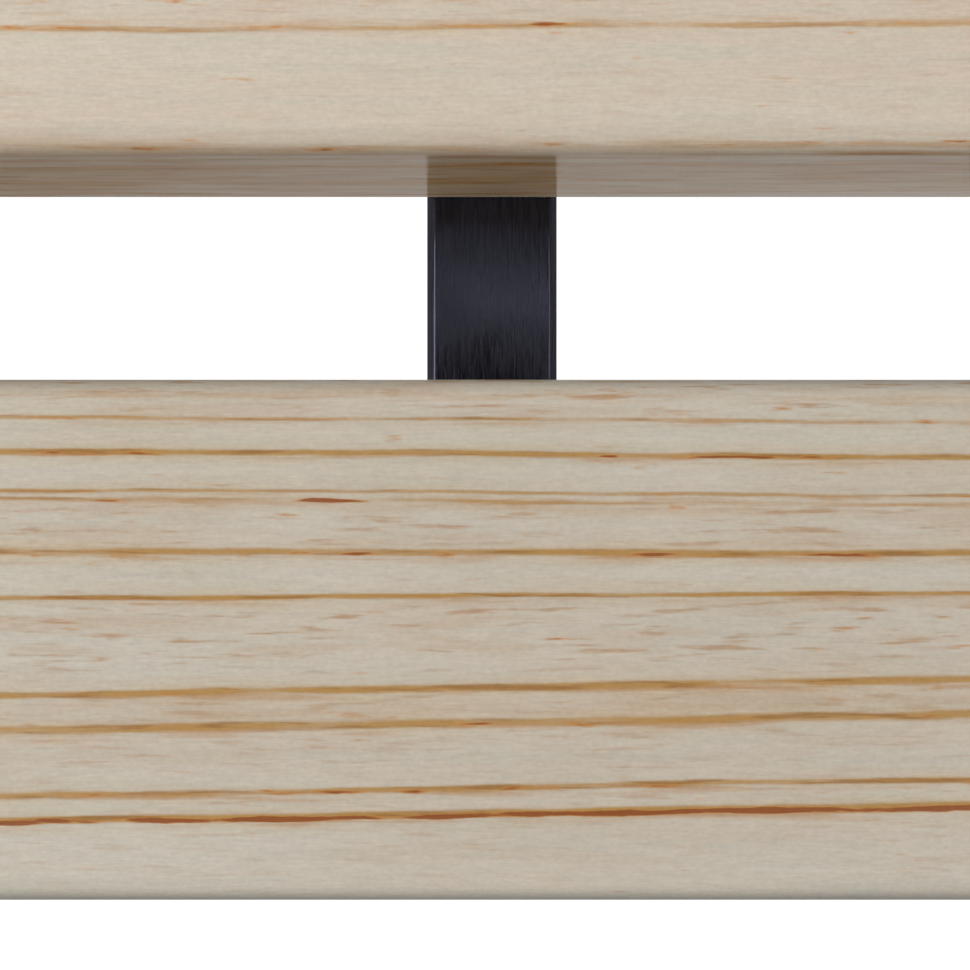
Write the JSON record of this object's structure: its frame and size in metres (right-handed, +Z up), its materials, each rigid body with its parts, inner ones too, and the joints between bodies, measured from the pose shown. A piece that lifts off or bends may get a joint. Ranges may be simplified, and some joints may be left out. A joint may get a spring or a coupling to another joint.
{
  "type": "ceiling mounted pulley rack",
  "caption": "Ceiling clothes rack: pale varnished wooden laths screwed across black steel crossbars, hung by bent rod bails and S-hooks from grooved ceiling pulleys.",
  "frame": {"origin": "centre of the four ceiling screw holes, on the ceiling face of the pulley plates", "axes": "+X along the laths towards the double pulley, +Y across the laths, +Z up into the ceiling; the rack is hoisted right up"},
  "size_m": [1.2, 0.359, 0.2561],
  "materials": {
    "varnished_pine": "pale softwood under clear satin varnish",
    "black_bar": "satin black over drawn steel",
    "black_rod": "satin black",
    "black_plate": "satin black",
    "cast_wheel": "cast, painted black, groove worn",
    "plated_steel": "bright zinc plating",
    "brass": "turned"
  },
  "bodies": {
    "ceiling": {"axle_nuts": "plated_steel", "axle_washers": "plated_steel", "double_axle": "plated_steel", "double_back_plate": "black_plate", "double_divider": "black_plate", "double_front_plate": "black_plate", "double_guard_pins": "black_plate", "single_axle": "plated_steel", "single_back_plate": "black_plate", "single_front_plate": "black_plate", "single_guard_pins": "black_plate"},
    "left_wheel": {"single_wheel": "cast_wheel", "single_bush": "brass"},
    "right_front_wheel": {"double_front_wheel": "cast_wheel", "double_front_bush": "brass"},
    "right_back_wheel": {"double_back_wheel": "cast_wheel", "double_back_bush": "brass"},
    "hooks": {"s_hook_left": "plated_steel", "s_hook_right": "plated_steel"},
    "rack": {"bail_left": "black_rod", "bail_nuts": "plated_steel", "bail_right": "black_rod", "bail_washers": "plated_steel", "crossbar_left": "black_bar", "crossbar_right": "black_bar", "lath_1": "varnished_pine", "lath_2": "varnished_pine", "lath_3": "varnished_pine", "lath_4": "varnished_pine", "lath_5": "varnished_pine", "lath_6": "varnished_pine", "lath_screws": "plated_steel"}
  },
  "joints": [
    {"name": "rack_lift", "type": "slide", "parent": "ceiling", "child": "hooks", "axis": [0, 0, -1], "range_m": [0, 1.2]},
    {"name": "rack_sway", "type": "hinge", "parent": "hooks", "child": "rack", "pos_m": [-0.023, 0, -0.09507], "axis": [1, 0, 0], "range_deg": [-15, 15]},
    {"name": "left_wheel_spin", "type": "hinge", "parent": "ceiling", "child": "left_wheel", "pos_m": [-0.4, 0, -0.034], "axis": [0, -1, 0], "continuous": true},
    {"name": "right_front_wheel_spin", "type": "hinge", "parent": "ceiling", "child": "right_front_wheel", "pos_m": [0.4, 0, -0.034], "axis": [0, -1, 0], "continuous": true},
    {"name": "right_back_wheel_spin", "type": "hinge", "parent": "ceiling", "child": "right_back_wheel", "pos_m": [0.4, 0.0152, -0.034], "axis": [0, -1, 0], "continuous": true}
  ],
  "couplings": [
    {"joint": "left_wheel_spin", "follows": "rack_lift", "rad_per_m": 43.478},
    {"joint": "right_front_wheel_spin", "follows": "rack_lift", "rad_per_m": 43.478},
    {"joint": "right_back_wheel_spin", "follows": "rack_lift", "rad_per_m": 43.478}
  ]
}
